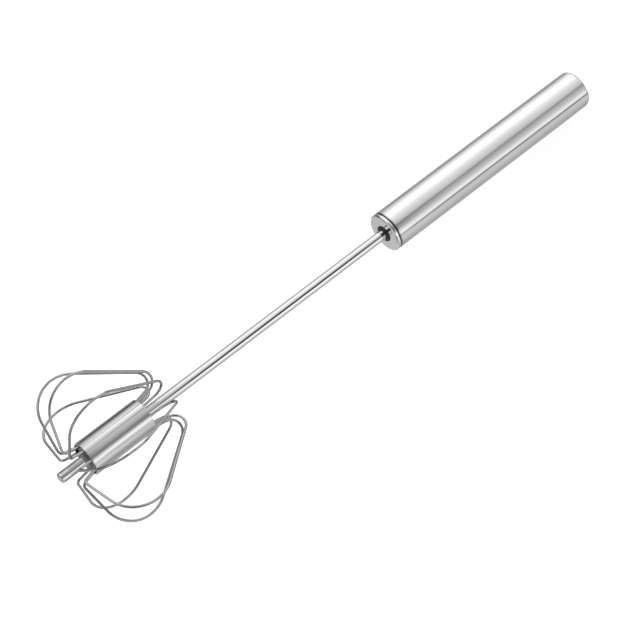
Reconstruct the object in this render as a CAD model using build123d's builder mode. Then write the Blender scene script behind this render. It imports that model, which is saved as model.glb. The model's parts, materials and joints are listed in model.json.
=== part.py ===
"""Push-down rotary hand whisk.

Pressing the tubular handle down drives a twisted strip through a slotted plate on the hollow shaft,
which spins the head of wire loops; a spring pushes the handle back up.

Every piece is drawn on the tool's own axis: Z runs from the tip (0) to the handle's closed end, and
X points to the side that lies downwards. The last section lays the tool down as it rests on a table:
on two wire loops and the handle's end, +X towards the handle, +Z up. Millimetres.
"""

import os
from math import cos, degrees, hypot, pi, radians, sin

from build123d import *

# ---------------------------------------------------------------- driving dimensions
HANDLE_D = 20.0  # handle outside diameter
HANDLE_WALL = 0.8
HANDLE_END = 326.8  # closed end of the handle, measured from the tip
FACE_Z = 196.5  # front face of the handle's cap
END_ROUND = 1.6  # rounded edge of the closed end
MOUTH_ROUND = 0.7  # rounded edge of the tube at the groove
BEAD_L = 1.8  # length of the cap's rounded rim, outside the tube
SEAM = 0.35  # groove between rim and tube

SHAFT_D = 5.2
SHAFT_WALL = 0.5
SHAFT_FIT = 0.05  # radial running clearance of the shaft in its bush
TIP_L = 2.2  # length of the rounded tip plug

SLEEVE_D = 17.0
SLEEVE_WALL = 0.8
SLEEVE_BOTTOM = 14.9
SLEEVE_TOP = 48.8

WIRE_D = 1.3
WIRE_COUNT = 9
WIRE_SEAT_R = 7.0  # radius on which the wires stand inside the sleeve
# Degrees by which each hand-bent loop stands off its even place, counted from the lower side.
WIRE_LEAN = (1.0, 3.0, 4.5, -1.5, -8.0, -4.0, 1.5, 1.0, -1.0)
# Corners of a loop as (radius, height), and the bend radius at each inner corner.
WIRE_CORNERS = ((7.0, 49.6), (10.8, 67.9), (49.6, 13.9), (8.5, 7.1), (7.0, 14.1))
WIRE_BENDS = (6.0, 5.3, 15.9, 2.1, 3.0)
WIRE_END_GAP = 3.0  # space between a wire's two ends inside the sleeve

LEAD = 22.0  # length of one full turn of the twisted strip
STRIP_W = 3.4
STRIP_T = 0.8
STRIP_START = 206.0  # lower end of the strip, handle up
ANCHOR_Z = 316.0  # front face of the plate that holds the strip
ANCHOR_T = 2.0

COLLAR_Z = 207.25  # lower face of the shaft's collar, handle up
COLLAR_D = 13.2
COLLAR_L = 9.0
PLATE_Z = 213.35  # lower face of the slotted drive plate
PLATE_T = 1.2
SPRING_D = 13.0  # mean diameter of the coil
SPRING_WIRE = 1.0
SPRING_TURNS = 17

# ---------------------------------------------------------------- worked out from those
handle_r = HANDLE_D / 2
bore_r = handle_r - HANDLE_WALL
shaft_r = SHAFT_D / 2
shaft_bore_r = shaft_r - SHAFT_WALL
sleeve_r = SLEEVE_D / 2
tube_start = FACE_Z + BEAD_L + SEAM
twist_per_mm = 360 / LEAD
strip_half_diagonal = hypot(STRIP_W, STRIP_T) / 2
slack = 0.05  # gap between neighbouring pieces that are fixed together
collar_top = COLLAR_Z + COLLAR_L
bush_end = COLLAR_Z - 1.25


def strip_angle(height):
    """Direction of the twisted strip's width at a height, in degrees."""
    return twist_per_mm * (height - STRIP_START)


def ring(outer_r, inner_r, height):
    """Flat ring about the axis at a height, ready to extrude."""
    with BuildSketch(Plane.XY.offset(height)) as flat_ring:
        Circle(outer_r)
        Circle(inner_r, mode=Mode.SUBTRACT)
    return flat_ring.sketch


def rims(part, radius):
    """The circular edges of a part that have the given radius, lowest first."""
    return (
        part.edges()
        .filter_by(GeomType.CIRCLE)
        .filter_by(lambda edge: abs(edge.radius - radius) < 1e-4)
        .sort_by(Axis.Z)
    )


# ================================================================ handle
with BuildPart() as handle_tube:
    with BuildSketch(Plane.XY.offset(tube_start)):
        Circle(handle_r)
    extrude(amount=HANDLE_END - tube_start)
    fillet(rims(handle_tube, handle_r)[-1], END_ROUND)
    offset(amount=-HANDLE_WALL, openings=handle_tube.faces().sort_by(Axis.Z)[0])
    fillet(rims(handle_tube, handle_r)[0], MOUTH_ROUND)
handle_tube.part.label = "handle_tube"

# Pressed cap: a flat face with a rounded rim, and a skirt inside the tube.
CAP_T = 0.8
SKIRT_L = 8.0
RIM_ROUND = 1.2
BUSH_HOLE_R = 3.6
BUSH_FLANGE_R = 4.2
BUSH_FLANGE_T = 0.8
BUSH_PROUD = 0.45  # how far the bush's flange stands out of the face
with BuildPart() as front_cap:
    with BuildSketch(Plane.XY.offset(FACE_Z)):
        Circle(handle_r)
    extrude(amount=BEAD_L)
    with BuildSketch(Plane.XY.offset(FACE_Z + BEAD_L)):
        Circle(bore_r - slack)
    extrude(amount=SKIRT_L)
    with BuildSketch(Plane.XY.offset(FACE_Z + CAP_T)):
        Circle(bore_r - slack - CAP_T)
    extrude(amount=BEAD_L + SKIRT_L, mode=Mode.SUBTRACT)
    with BuildSketch(Plane.XY.offset(FACE_Z)):
        Circle(BUSH_HOLE_R)
    extrude(amount=CAP_T, mode=Mode.SUBTRACT)
    with BuildSketch(Plane.XY.offset(FACE_Z)):
        Circle(BUSH_FLANGE_R + slack)
    extrude(amount=BUSH_FLANGE_T - BUSH_PROUD + slack, mode=Mode.SUBTRACT)
    fillet(rims(front_cap, handle_r)[0], RIM_ROUND)
    fillet(rims(front_cap, handle_r)[-1], 0.3)
front_cap.part.label = "front_cap"

# Plastic bush: a flange sunk into the cap's face, and a long bearing behind it.
with BuildPart() as guide_bush:
    bush_bore_r = shaft_r + SHAFT_FIT
    bush_front = FACE_Z - BUSH_PROUD
    extrude(ring(BUSH_FLANGE_R, bush_bore_r, bush_front), amount=BUSH_FLANGE_T)
    extrude(ring(BUSH_HOLE_R - slack, bush_bore_r, bush_front), amount=bush_end - bush_front)
    fillet(rims(guide_bush, BUSH_FLANGE_R)[0], 0.3)
guide_bush.part.label = "guide_bush"

with BuildPart() as bush_clip:
    extrude(ring(6.0, BUSH_HOLE_R - slack / 2, FACE_Z + CAP_T + slack), amount=0.7)
    with BuildSketch(Plane.XY.offset(FACE_Z)):
        with PolarLocations(BUSH_HOLE_R, 6):
            Rectangle(1.8, 0.5)
    extrude(amount=3.0, mode=Mode.SUBTRACT)
bush_clip.part.label = "bush_clip"

with BuildPart() as buffer_washer:
    extrude(ring(6.5, shaft_r + 0.35, bush_end + slack), amount=1.0)
    fillet(rims(buffer_washer, 6.5), 0.2)
buffer_washer.part.label = "buffer_washer"

# ================================================================ twisted strip and its anchor
TAB_L = 5.5
PIN_D = 1.6
pin_z = ANCHOR_Z + ANCHOR_T + PIN_D / 2 + 0.1
tab_angle = strip_angle(ANCHOR_Z)
strip_section = Face.make_rect(STRIP_W, STRIP_T, Plane.XY.offset(STRIP_START))
twisted_length = ANCHOR_Z - STRIP_START
twisted_strip = Solid.extrude_linear_with_rotation(
    strip_section, (0, 0, STRIP_START), (0, 0, twisted_length), twist_per_mm * twisted_length
)
pin_plane = Plane.XY.offset(pin_z).rotated((0, 0, tab_angle))
with BuildPart() as drive_spiral:
    add(twisted_strip)
    with BuildSketch(Plane.XY.offset(ANCHOR_Z)):
        Rectangle(STRIP_W, STRIP_T, rotation=tab_angle)
    extrude(amount=TAB_L)
    with BuildSketch(Plane(pin_plane.origin, x_dir=pin_plane.x_dir, z_dir=pin_plane.y_dir)):
        Circle(PIN_D / 2 + slack)
    extrude(amount=STRIP_T, both=True, mode=Mode.SUBTRACT)
drive_spiral.part.label = "drive_spiral"

with BuildPart() as anchor_plate:
    with BuildSketch(Plane.XY.offset(ANCHOR_Z)):
        Circle(bore_r - slack)
        Rectangle(STRIP_W + 2 * slack, STRIP_T + 2 * slack, rotation=tab_angle, mode=Mode.SUBTRACT)
    extrude(amount=ANCHOR_T)
anchor_plate.part.label = "anchor_plate"

with BuildPart() as anchor_pin:
    with BuildSketch(Plane(pin_plane.origin, x_dir=pin_plane.x_dir, z_dir=pin_plane.y_dir)):
        Circle(PIN_D / 2)
    extrude(amount=5.5, both=True)
    chamfer(anchor_pin.edges().filter_by(GeomType.CIRCLE), 0.2)
anchor_pin.part.label = "anchor_pin"

SPACER_WALL = 0.9
with BuildPart() as end_spacer:
    spacer_start = ANCHOR_Z + ANCHOR_T + slack
    spacer_end = HANDLE_END - HANDLE_WALL - slack
    spacer_r = bore_r - slack
    extrude(ring(spacer_r, spacer_r - SPACER_WALL, spacer_start), amount=spacer_end - spacer_start)
    chamfer(rims(end_spacer, spacer_r)[-1], 0.8, 0.8)
end_spacer.part.label = "end_spacer"

# ================================================================ spring and its seat
SEAT_T = 0.8
WASHER_T = 0.8
SEAT_GAP = 0.35  # clearance of the sliding seat in the handle
washer_z = collar_top + 0.1
seat_z = washer_z + WASHER_T + slack
seat_r = bore_r - SEAT_GAP
STRIP_GAP = 0.5  # clearance of the sliding pieces around the strip

with BuildPart() as thrust_washer:
    extrude(ring(COLLAR_D / 2, strip_half_diagonal + STRIP_GAP, washer_z), amount=WASHER_T)
thrust_washer.part.label = "thrust_washer"

with BuildPart() as spring_seat:
    extrude(ring(seat_r, strip_half_diagonal + STRIP_GAP, seat_z), amount=6.0)
    with BuildSketch(Plane.XY.offset(seat_z + SEAT_T)):
        Circle(seat_r - SEAT_T)
    extrude(amount=6.0, mode=Mode.SUBTRACT)
    fillet(rims(spring_seat, seat_r)[0], 0.7)
spring_seat.part.label = "spring_seat"

spring_start = seat_z + SEAT_T + SPRING_WIRE / 2 + slack
spring_length = ANCHOR_Z - SPRING_WIRE / 2 - slack - spring_start
with BuildPart() as return_spring:
    with BuildLine() as coil_line:
        Helix(spring_length / SPRING_TURNS, spring_length, SPRING_D / 2, center=(0, 0, spring_start))
    with BuildSketch(Plane(coil_line.line @ 0, z_dir=coil_line.line % 0)):
        Circle(SPRING_WIRE / 2)
    sweep()
return_spring.part.label = "return_spring"

# ================================================================ shaft
with BuildPart() as shaft_tube:
    extrude(ring(shaft_r, shaft_bore_r, TIP_L), amount=COLLAR_Z + 6.0 - TIP_L)
shaft_tube.part.label = "shaft_tube"

with BuildPart() as shaft_tip:
    with BuildSketch(Plane.XY):
        Circle(shaft_r)
    extrude(amount=TIP_L)
    with BuildSketch(Plane.XY.offset(TIP_L)):
        Circle(shaft_bore_r - slack / 2)
    extrude(amount=6.0)
    fillet(rims(shaft_tip, shaft_r)[0], 1.2)
shaft_tip.part.label = "shaft_tip"

with BuildPart() as shaft_collar:
    extrude(ring(COLLAR_D / 2, shaft_r + slack / 2, COLLAR_Z), amount=COLLAR_L)
    with BuildSketch(Plane.XY.offset(PLATE_Z - slack)):
        Circle(5.2)
    extrude(amount=COLLAR_L, mode=Mode.SUBTRACT)
    chamfer(rims(shaft_collar, COLLAR_D / 2), 0.4)
shaft_collar.part.label = "shaft_collar"

# The slot is wide enough for the strip's twist over the plate's thickness.
SLOT_GAP = 0.1
half_twist = radians(twist_per_mm * PLATE_T / 2)
slot_half_width = (STRIP_T * cos(half_twist) + STRIP_W * sin(half_twist)) / 2 + SLOT_GAP
with BuildPart() as drive_plate:
    with BuildSketch(Plane.XY.offset(PLATE_Z)):
        Circle(5.15)
        Rectangle(
            2 * (strip_half_diagonal + SLOT_GAP),
            2 * slot_half_width,
            rotation=strip_angle(PLATE_Z + PLATE_T / 2),
            mode=Mode.SUBTRACT,
        )
    extrude(amount=PLATE_T)
drive_plate.part.label = "drive_plate"

# ================================================================ whisk head
with BuildPart() as head_sleeve:
    extrude(ring(sleeve_r, sleeve_r - SLEEVE_WALL, SLEEVE_BOTTOM), amount=SLEEVE_TOP - SLEEVE_BOTTOM)
    fillet(rims(head_sleeve, sleeve_r), 0.3)
head_sleeve.part.label = "head_sleeve"

# Filler between the shaft and the wires, with a small boss around the shaft at its lower end.
CORE_RECESS = 1.0
BOSS_R = 4.3
BOSS_L = 2.2
with BuildPart() as head_core:
    core_bottom = SLEEVE_BOTTOM + CORE_RECESS
    core_top = SLEEVE_TOP - CORE_RECESS
    core_r = WIRE_SEAT_R - WIRE_D / 2 - slack
    core_bore_r = shaft_r + slack / 2
    extrude(ring(core_r, core_bore_r, core_bottom), amount=core_top - core_bottom)
    extrude(ring(BOSS_R, core_bore_r, core_bottom - BOSS_L), amount=BOSS_L)
    fillet(rims(head_core, BOSS_R)[0], 0.6)
head_core.part.label = "head_core"


def whisk_wire(azimuth):
    """One loop: out of the sleeve's top, round the wide bend and back in at its bottom."""
    outward = Vector(cos(radians(azimuth)), sin(radians(azimuth)), 0)
    loop_plane = Plane((0, 0, 0), x_dir=outward, z_dir=outward.cross(Vector(0, 0, 1)))
    middle = (SLEEVE_BOTTOM + SLEEVE_TOP) / 2
    upper_end = (WIRE_SEAT_R, middle + WIRE_END_GAP / 2)
    lower_end = (WIRE_SEAT_R, middle - WIRE_END_GAP / 2)
    with BuildPart() as loop:
        with BuildLine(loop_plane) as loop_line:
            FilletPolyline(upper_end, *WIRE_CORNERS, lower_end, radius=list(WIRE_BENDS))
        with BuildSketch(Plane(loop_line.line @ 0, z_dir=loop_line.line % 0)):
            Circle(WIRE_D / 2)
        sweep()
    return loop.part


wire_azimuths = [360 / WIRE_COUNT * (i + 0.5) + lean for i, lean in enumerate(WIRE_LEAN)]
whisk_wires = [whisk_wire(azimuth) for azimuth in wire_azimuths]
for number, wire in enumerate(whisk_wires, start=1):
    wire.label = f"whisk_wire_{number}"

# ================================================================ the tool lying on a table
# It rests on the two lowest loops and on the rounded edge of the handle's closed end, so the axis
# dips towards the handle. A wide bend is an arc of a known centre, seen from the side as an ellipse.
(top_r, top_z), (wide_r, wide_z), (low_r, low_z) = WIRE_CORNERS[1:4]
bend_r = WIRE_BENDS[2]
to_top = Vector(top_r - wide_r, top_z - wide_z).normalized()
to_low = Vector(low_r - wide_r, low_z - wide_z).normalized()
half_corner = radians(to_top.get_angle(to_low)) / 2
centre_offset = (to_top + to_low).normalized() * (bend_r / sin(half_corner))
bend_centre = Vector(wide_r, wide_z) + centre_offset
side_view = cos(radians(wire_azimuths[0]))


def resting_drop(dip):
    """How much lower the loops reach than the handle's end when the axis dips by an angle."""
    across = side_view * cos(dip)
    along = sin(dip)
    loops = bend_centre.X * across + bend_centre.Y * along + bend_r * hypot(across, along) + WIRE_D / 2
    end = (handle_r - END_ROUND) * cos(dip) + (HANDLE_END - END_ROUND) * along + END_ROUND
    return loops - end


low_dip, high_dip = 0.0, pi / 8
for _ in range(50):
    dip = (low_dip + high_dip) / 2
    if resting_drop(dip) > 0:
        low_dip = dip
    else:
        high_dip = dip

pieces = [
    part.part
    for part in (
        handle_tube, front_cap, guide_bush, bush_clip, buffer_washer, drive_spiral, anchor_plate,
        anchor_pin, end_spacer, return_spring, thrust_washer, spring_seat, shaft_tube, shaft_tip,
        shaft_collar, drive_plate, head_sleeve, head_core,
    )
]
pieces += whisk_wires

lying = Plane((0, 0, 0), x_dir=(-sin(dip), 0, -cos(dip)), z_dir=(cos(dip), 0, -sin(dip))).location
box = Compound([piece.moved(lying) for piece in pieces]).bounding_box()
to_floor = Location((-box.center().X, -box.center().Y, -box.min.Z))

os.makedirs("parts", exist_ok=True)
for piece in pieces:
    placed = piece.moved(lying).moved(to_floor)
    placed.label = piece.label
    export_step(placed, f"parts/{piece.label}.step")

tip = to_floor.position
print("dip", round(degrees(dip), 4), "tip", [round(value, 4) for value in tip], "box", box.size)
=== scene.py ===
"""Looks for the push-down rotary whisk: polished stainless steel over a pale studio table.

Distances are in metres, except where a name or a note says millimetres.
"""

import json
import math

import bpy
from mathutils import Matrix, Vector


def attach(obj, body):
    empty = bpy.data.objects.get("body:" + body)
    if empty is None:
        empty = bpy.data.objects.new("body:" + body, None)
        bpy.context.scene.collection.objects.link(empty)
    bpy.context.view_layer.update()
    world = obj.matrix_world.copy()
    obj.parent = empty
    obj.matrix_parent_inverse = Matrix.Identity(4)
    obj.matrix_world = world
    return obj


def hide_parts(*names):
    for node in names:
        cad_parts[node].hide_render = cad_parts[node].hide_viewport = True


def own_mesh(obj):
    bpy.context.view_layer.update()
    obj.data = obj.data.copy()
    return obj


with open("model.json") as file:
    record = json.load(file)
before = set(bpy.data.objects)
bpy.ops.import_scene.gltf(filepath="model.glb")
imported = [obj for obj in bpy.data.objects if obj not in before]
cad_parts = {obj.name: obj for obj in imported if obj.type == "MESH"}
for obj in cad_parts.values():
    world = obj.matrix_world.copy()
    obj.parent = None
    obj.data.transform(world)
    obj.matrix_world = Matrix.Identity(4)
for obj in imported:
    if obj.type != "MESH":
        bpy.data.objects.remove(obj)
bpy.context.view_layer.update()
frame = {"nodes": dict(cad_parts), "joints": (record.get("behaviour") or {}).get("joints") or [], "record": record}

MM = 0.001
record = frame["record"]
plunge = next(j for j in frame["joints"] if j["name"] == "plunge")
AXIS = Vector(plunge["axis"]).normalized()  # along the tool, towards the handle's closed end
TIP_MOUNT = next(m for m in record["mounts"] if m["name"] == "tip")
ON_AXIS = Vector(TIP_MOUNT["pos_m"])
DOWN = (Vector((0, 0, -1)) - AXIS * AXIS.dot(Vector((0, 0, -1)))).normalized()
SIDE = AXIS.cross(DOWN)


def span_along(node):
    """Lowest and highest place of a CAD node along the tool, in metres from the tip."""
    places = [(v.co - ON_AXIS).dot(AXIS) for v in frame["nodes"][node].data.vertices]
    return min(places), max(places)


MOUTH = span_along("handle_tube")[0]  # the tube's open end, at the groove behind the cap


# ------------------------------------------------------------------------------ materials
SMUDGE_SCALE = (60, 60, 25)  # soft smudges, a little longer along the tool
SMUDGE_SHARE = 0.94  # of the colour, where a smudge is darkest
STREAK_DEPTH = 2e-6
GRAIN_DEPTH = 1e-5
GRAIN_STRENGTH = 0.15
GRAIN_SHARE = 1.35  # of the colour, where the grain is lightest


class Tree:
    """Short ways to build a node tree."""

    def __init__(self, tree):
        self.tree = tree

    def add(self, kind, **settings):
        node = self.tree.nodes.new(kind)
        for key, value in settings.items():
            setattr(node, key, value)
        return node

    def link(self, source, target):
        self.tree.links.new(source, target)

    def math(self, operation, *values):
        """Math node; each value is a number or another node's output."""
        node = self.add("ShaderNodeMath", operation=operation)
        for socket, value in zip(node.inputs, values):
            if isinstance(value, (int, float)):
                socket.default_value = value
            else:
                self.link(value, socket)
        return node.outputs["Value"]

    def dot(self, vector, fixed):
        node = self.add("ShaderNodeVectorMath", operation="DOT_PRODUCT")
        self.link(vector, node.inputs[0])
        node.inputs[1].default_value = fixed
        return node.outputs["Value"]

    def ramp(self, value, stops):
        """Colour ramp; each stop is (place, grey or colour)."""
        node = self.add("ShaderNodeValToRGB")
        elements = node.color_ramp.elements
        while len(elements) < len(stops):
            elements.new(1.0)
        for element, (place, colour) in zip(elements, stops):
            element.position = place
            grey = isinstance(colour, (int, float))
            element.color = (colour, colour, colour, 1) if grey else (*colour, 1)
        self.link(value, node.inputs["Fac"])
        return node.outputs["Color"]


class Nodes(Tree):
    """One material's node tree."""

    def __init__(self, name):
        self.material = bpy.data.materials.new(name)
        self.material.use_nodes = True
        super().__init__(self.material.node_tree)
        self.shader = next(n for n in self.tree.nodes if n.type == "BSDF_PRINCIPLED")

    def set(self, **values):
        for key, value in values.items():
            self.shader.inputs[key.replace("_", " ")].default_value = value

    def tool_coordinates(self):
        """Position in the tool's own axes: X down, Y to the side, Z along the tool, in metres."""
        place = self.add("ShaderNodeTexCoord")
        turn = self.add("ShaderNodeMapping", vector_type="TEXTURE")
        frame_axes = Matrix((DOWN, SIDE, AXIS)).transposed()
        turn.inputs["Location"].default_value = ON_AXIS
        turn.inputs["Rotation"].default_value = frame_axes.to_euler()
        self.link(place.outputs["Object"], turn.inputs["Vector"])
        return turn.outputs["Vector"]

    def shaded_along(self, coordinates, colour, shares):
        """Colour darkened as painted shade, by a share that depends on the distance behind the tube's mouth."""
        first, last = shares[0][0] * MM, shares[-1][0] * MM
        split = self.add("ShaderNodeSeparateXYZ")
        self.link(coordinates, split.inputs["Vector"])
        place = self.math("SUBTRACT", split.outputs["Z"], MOUTH + first)
        place = self.math("DIVIDE", place, last - first)
        stops = [((at * MM - first) / (last - first), share) for at, share in shares]
        mix = self.add("ShaderNodeMix", data_type="RGBA", blend_type="MULTIPLY")
        mix.inputs["Factor"].default_value = 1.0
        self.link(colour, mix.inputs["A"])
        self.link(self.ramp(place, stops), mix.inputs["B"])
        return mix.outputs["Result"]

    def turned(self, coordinates):
        """Coordinates whose X is the distance from the tool's axis, for marks left by a lathe."""
        flat = self.add("ShaderNodeVectorMath", operation="MULTIPLY")
        flat.inputs[1].default_value = (1, 1, 0)
        self.link(coordinates, flat.inputs[0])
        radius = self.add("ShaderNodeVectorMath", operation="LENGTH")
        self.link(flat.outputs["Vector"], radius.inputs[0])
        joined = self.add("ShaderNodeCombineXYZ")
        self.link(radius.outputs["Value"], joined.inputs["X"])
        return joined.outputs["Vector"]

    def stretched_noise(self, coordinates, scale, detail=4.0, roughness=0.6):
        """Noise with its own scale along each of the tool's axes."""
        stretch = self.add("ShaderNodeMapping")
        stretch.inputs["Scale"].default_value = scale
        noise = self.add("ShaderNodeTexNoise")
        noise.inputs["Scale"].default_value = 1.0
        noise.inputs["Detail"].default_value = detail
        noise.inputs["Roughness"].default_value = roughness
        self.link(coordinates, stretch.inputs["Vector"])
        self.link(stretch.outputs["Vector"], noise.inputs["Vector"])
        return noise.outputs["Fac"]

    def bump(self, height, strength, distance):
        node = self.add("ShaderNodeBump")
        node.inputs["Strength"].default_value = strength
        node.inputs["Distance"].default_value = distance
        self.link(height, node.inputs["Height"])
        self.link(node.outputs["Normal"], self.shader.inputs["Normal"])


def metal(name, colour, rough, streak_scale, spread=0.03, bump=0.05, painted_shade=(), turned=False):
    """Metal with fine streaks in its colour, roughness and surface.

    Painted shade is a list of (millimetres behind the tube's mouth, share of the colour that is left), which
    darkens the colour there.
    """
    m = Nodes(name)
    m.set(Metallic=1.0)
    coordinates = m.tool_coordinates()
    marked = m.turned(coordinates) if turned else coordinates
    streaks = m.stretched_noise(marked, streak_scale)
    smudges = m.stretched_noise(coordinates, SMUDGE_SCALE, detail=2.0)
    darker = tuple(channel * SMUDGE_SHARE for channel in colour)
    base = m.ramp(smudges, ((0.35, darker), (0.65, colour)))
    # Painted shade: the colour is darkened near the tube's mouth and in the groove behind the cap.
    if painted_shade:
        base = m.shaded_along(coordinates, base, painted_shade)
    m.link(base, m.shader.inputs["Base Color"])
    rough_stops = ((0.3, rough - spread / 2), (0.7, rough + spread))
    m.link(m.ramp(streaks, rough_stops), m.shader.inputs["Roughness"])
    m.bump(streaks, bump, STREAK_DEPTH)
    return m.material


def plastic(name, colour, rough, grain=2500.0):
    """Moulded plastic or rubber with a fine grain."""
    m = Nodes(name)
    coordinates = m.tool_coordinates()
    fine = m.stretched_noise(coordinates, (grain, grain, grain), detail=3.0)
    lighter = tuple(min(1.0, channel * GRAIN_SHARE) for channel in colour)
    m.link(m.ramp(fine, ((0.3, colour), (0.75, lighter))), m.shader.inputs["Base Color"])
    m.link(m.ramp(fine, ((0.3, rough - 0.05), (0.7, rough + 0.08))), m.shader.inputs["Roughness"])
    m.bump(fine, GRAIN_STRENGTH, GRAIN_DEPTH)
    return m.material


STEEL = (0.66, 0.66, 0.665)
# The cap gets a lighter copy of the steel: painted light that makes its face read brighter.
CAP_STEEL_PAINTED_LIGHTER = (0.8, 0.8, 0.805)
AROUND = (300, 300, 9000)  # marks that run round the tool
ALONG = (6000, 6000, 60)  # marks that run along it
LATHE = (1800, 0, 0)  # rings on a flat face, by distance from the axis
# Painted shade at the tube's mouth, and on the cap's skirt inside the groove: the colour is darkened where shade
# falls in the recess.
MOUTH_PAINTED_SHADE = ((0.0, 0.3), (0.45, 0.6), (1.2, 1.0))
GROOVE_PAINTED_SHADE = ((-0.6, 1.0), (-0.4, 0.5), (-0.3, 0.04), (0.0, 0.04))
polished = metal("polished_steel", STEEL, 0.07, AROUND)
tube_steel = metal("tube_steel", STEEL, 0.08, AROUND, painted_shade=MOUTH_PAINTED_SHADE)
cap_face = metal(
    "cap_steel", CAP_STEEL_PAINTED_LIGHTER, 0.1, LATHE, spread=0.12, bump=0.5, painted_shade=GROOVE_PAINTED_SHADE, turned=True
)
# The wires get a darker copy of the steel: painted shade that stands in for the dark room reflected in them.
wire_steel_painted_darker = metal("bright_wire", (0.43, 0.43, 0.435), 0.08, ALONG)
plain = metal("plain_steel", (0.6, 0.6, 0.61), 0.32, AROUND, spread=0.1, bump=0.2)
spring_steel = metal("spring_steel", (0.5, 0.5, 0.52), 0.28, ALONG, spread=0.08, bump=0.15)
black_plastic = plastic("black_plastic", (0.008, 0.008, 0.009), 0.5)
filler = plastic("grey_filler", (0.24, 0.24, 0.245), 0.5)
nylon = plastic("white_nylon", (0.78, 0.77, 0.73), 0.45)
rubber = plastic("black_rubber", (0.02, 0.02, 0.02), 0.7)

FINISHES = {
    "polished_steel": polished,
    "bright_wire": wire_steel_painted_darker,
    "plain_steel": plain,
    "spring_steel": spring_steel,
    "black_plastic": black_plastic,
    "grey_filler": filler,
    "white_nylon": nylon,
    "black_rubber": rubber,
}
SPECIAL = {"front_cap": cap_face, "handle_tube": tube_steel}
slot_of = {part["node"]: part["material_slot"] for part in record["subparts"]}
for node, obj in frame["nodes"].items():
    obj.data.materials.clear()
    obj.data.materials.append(SPECIAL.get(node) or FINISHES[slot_of[node]])

# ------------------------------------------------------------------------------ return spring
# The CAD spring is rigid. This coil has closed end turns.
COIL_TURNS = 17
CLOSED_TURNS = 1.5
COIL_STEPS = 24  # points in each turn
COIL_WIRE_R = 0.5 * MM
COIL_R = 6.5 * MM


def coil_height(turn, low, high):
    """Height of the wire's middle after a number of turns: close at both ends, open between."""
    closed_pitch = 2 * COIL_WIRE_R
    open_turns = COIL_TURNS - 2 * CLOSED_TURNS
    open_pitch = (high - low - 2 * CLOSED_TURNS * closed_pitch) / open_turns
    lower = min(turn, CLOSED_TURNS) * closed_pitch
    middle = min(max(turn - CLOSED_TURNS, 0), open_turns) * open_pitch
    upper = max(turn - CLOSED_TURNS - open_turns, 0) * closed_pitch
    return low + lower + middle + upper


def make_coil(name, low, high):
    curve = bpy.data.curves.new(name, "CURVE")
    curve.dimensions = "3D"
    curve.bevel_depth = COIL_WIRE_R
    curve.bevel_resolution = 3
    curve.use_fill_caps = True
    spline = curve.splines.new("POLY")
    count = COIL_TURNS * COIL_STEPS + 1
    spline.points.add(count - 1)
    for i, point in enumerate(spline.points):
        turn = i / COIL_STEPS
        around = math.cos(math.tau * turn) * DOWN + math.sin(math.tau * turn) * SIDE
        place = ON_AXIS + AXIS * coil_height(turn, low, high) + around * COIL_R
        point.co = (*place, 1)
    made = bpy.data.objects.new(name, curve)
    bpy.context.scene.collection.objects.link(made)
    bpy.context.view_layer.update()
    mesh = bpy.data.meshes.new_from_object(made.evaluated_get(bpy.context.evaluated_depsgraph_get()))
    bpy.data.objects.remove(made)
    coil = bpy.data.objects.new(name, mesh)
    bpy.context.scene.collection.objects.link(coil)
    coil.data.polygons.foreach_set("use_smooth", [True] * len(coil.data.polygons))
    return coil


spring_low, spring_high = span_along("return_spring")
coil = make_coil("return_coil", spring_low + COIL_WIRE_R, spring_high - COIL_WIRE_R)
coil.data.materials.clear()
coil.data.materials.append(spring_steel)
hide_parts("return_spring")
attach(coil, "handle")
stroke = plunge["range_m"][1]
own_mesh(coil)

# ------------------------------------------------------------------------------ table
# The head sinks by the stroke's fall as it slides into the dipping handle, and would cut a table
# that the tool touched. The table is lower than the tool by that fall.
FLOOR_SIZE = 6.0
FLOOR_GREY = (0.9, 0.9, 0.9, 1)
FLOOR_GLOW = 0.62  # keeps the table near white, with a faint shadow
floor_height = stroke * AXIS.z
bpy.ops.mesh.primitive_plane_add(size=FLOOR_SIZE, location=(0, 0, floor_height))
floor = bpy.context.object
floor.name = "floor"
floor_look = Nodes("floor_white")
floor_look.set(Roughness=0.8, Specular_IOR_Level=0.0, Base_Color=FLOOR_GREY)
floor_look.set(Emission_Color=(1, 1, 1, 1), Emission_Strength=FLOOR_GLOW)
floor.data.materials.append(floor_look.material)
floor.visible_glossy = False  # in reflections the lower half of the studio stands for the table

# ------------------------------------------------------------------------------ light
# The studio is a row of rings about the tool's axis. In a ring, a place is an angle about the axis,
# with straight up at UP_ANGLE, and its value is how bright the soft boxes and cards are there. A ring
# begins where the share of the direction along the axis passes its two limits. END_RING shows in
# views along the tool, and the two cards are dark and even.
UP_ANGLE = 110.5
BRIGHTEST = 2.0
END_RING = (
    (0, 0.8), (30, 1.3), (55, 0.5), (85, 0.45), (110, 0.9), (140, 1.5), (165, 1.4), (190, 0.6),
    (215, 0.25), (250, 0.6), (290, 0.9), (325, 0.5), (360, 0.8),
)
TIP_CARD = ((0, 0.35), (360, 0.35))
FRONT_RING = (
    (0, 0.7), (18, 0.7), (24, 0.1), (32, 1.2), (45, 1.2), (60, 0.05), (118, 0.05), (138, 1.5),
    (160, 1.5), (195, 0.1), (215, 0.1), (240, 0.6), (360, 0.7),
)
TIP_RING = (
    (0, 0.7), (36, 1.5), (57, 0.6), (70, 0.25), (95, 0.25), (130, 0.9), (150, 1.0), (183, 0.3),
    (220, 0.2), (265, 0.4), (310, 0.15), (345, 0.3), (360, 0.7),
)
WHISK_RING = (
    (0, 0.7), (20, 1.2), (30, 0.6), (47, 1.6), (70, 0.35), (80, 0.35), (95, 0.65), (135, 0.9),
    (148, 1.45), (163, 1.35), (195, 0.6), (210, 0.1), (220, 0.1), (228, 0.4), (270, 0.6),
    (345, 0.5), (360, 0.7),
)
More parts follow.
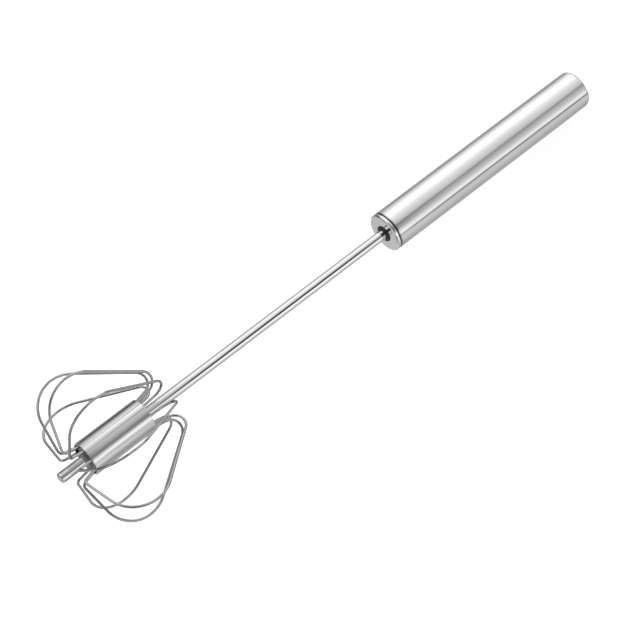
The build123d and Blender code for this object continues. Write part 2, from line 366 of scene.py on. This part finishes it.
ROD_RING = (
    (0, 0.9), (20, 1.2), (30, 1.5), (45, 1.5), (55, 1.1), (63, 0.05), (89, 0.05), (96, 0.75),
    (140, 1.5), (165, 1.5), (180, 0.95), (205, 0.6), (330, 0.5), (360, 0.9),
)
HANDLE_RING = (
    (0, 0.85), (17, 0.8), (21, 0.25), (25, 0.25), (28, 0.95), (35, 1.35), (55, 0.85), (78, 0.55),
    (85, 0.4), (93, 0.8), (125, 1.15), (150, 1.65), (172, 1.65), (207, 0.75), (217, 0.4),
    (240, 0.55), (320, 0.55), (360, 0.85),
)
HANDLE_CARD = ((0, 0.1), (360, 0.1))
STUDIO = (
    (-0.92, -0.88, TIP_CARD),
    (-0.68, -0.6, FRONT_RING),
    (-0.2, -0.06, WHISK_RING),
    (0.19, 0.21, TIP_RING),
    (0.249, 0.253, WHISK_RING),
    (0.29, 0.31, ROD_RING),
    (0.409, 0.414, HANDLE_RING),
    (0.76, 0.84, HANDLE_CARD),
    (0.88, 0.92, END_RING),
)

world = bpy.data.worlds.new("studio")
bpy.context.scene.world = world
world.use_nodes = True
sky = Tree(world.node_tree)
direction = sky.add("ShaderNodeTexCoord").outputs["Generated"]
angle = sky.math("ARCTAN2", sky.dot(direction, SIDE), sky.dot(direction, -DOWN))
turn = sky.math("WRAP", sky.math("MULTIPLY_ADD", angle, 1 / math.tau, UP_ANGLE / 360), 1.0, 0.0)
along = sky.dot(direction, AXIS)


def ring_colour(stops):
    """Brightness around the tool's axis, as a share of BRIGHTEST."""
    return sky.ramp(turn, [(degrees / 360, value / BRIGHTEST) for degrees, value in stops])


colour = ring_colour(END_RING)
for begin, full, stops in STUDIO:
    share = sky.add("ShaderNodeMapRange", interpolation_type="SMOOTHSTEP")
    share.inputs["From Min"].default_value = begin
    share.inputs["From Max"].default_value = full
    sky.link(along, share.inputs["Value"])
    mix = sky.add("ShaderNodeMix", data_type="RGBA")
    sky.link(share.outputs["Result"], mix.inputs["Factor"])
    sky.link(colour, mix.inputs["A"])
    sky.link(ring_colour(stops), mix.inputs["B"])
    colour = mix.outputs["Result"]
studio = sky.tree.nodes["Background"]
studio.inputs["Strength"].default_value = BRIGHTEST
sky.link(colour, studio.inputs["Color"])
# Behind the table the camera sees plain white.
backdrop = sky.add("ShaderNodeBackground")
backdrop.inputs["Color"].default_value = (1, 1, 1, 1)
choice = sky.add("ShaderNodeMixShader")
sky.link(sky.add("ShaderNodeLightPath").outputs["Is Camera Ray"], choice.inputs["Fac"])
sky.link(studio.outputs["Background"], choice.inputs[1])
sky.link(backdrop.outputs["Background"], choice.inputs[2])
sky.link(choice.outputs["Shader"], sky.tree.nodes["World Output"].inputs["Surface"])

# ------------------------------------------------------------------------------ camera
CAMERA_AZIMUTH = math.radians(-41.87)
CAMERA_ELEVATION = math.radians(64.07)
CAMERA_ROLL = math.radians(-0.37)
CAMERA_DISTANCE = 1.0305
LENS_MM = 124.84
SENSOR_MM = 36.0
TARGET = Vector((-0.02009, -0.01277, 0.02064))

camera_data = bpy.data.cameras.new("camera")
camera_data.lens = LENS_MM
camera_data.sensor_width = SENSOR_MM
camera = bpy.data.objects.new("camera", camera_data)
bpy.context.scene.collection.objects.link(camera)
bpy.context.scene.camera = camera
back = Vector((
    math.sin(CAMERA_AZIMUTH) * math.cos(CAMERA_ELEVATION),
    -math.cos(CAMERA_AZIMUTH) * math.cos(CAMERA_ELEVATION),
    math.sin(CAMERA_ELEVATION),
))
look = (-back).to_track_quat("-Z", "Y").to_matrix().to_4x4()
roll = Matrix.Rotation(CAMERA_ROLL, 4, "Z")
camera.matrix_world = Matrix.Translation(TARGET + back * CAMERA_DISTANCE) @ look @ roll
bpy.context.scene.view_settings.view_transform = "Standard"
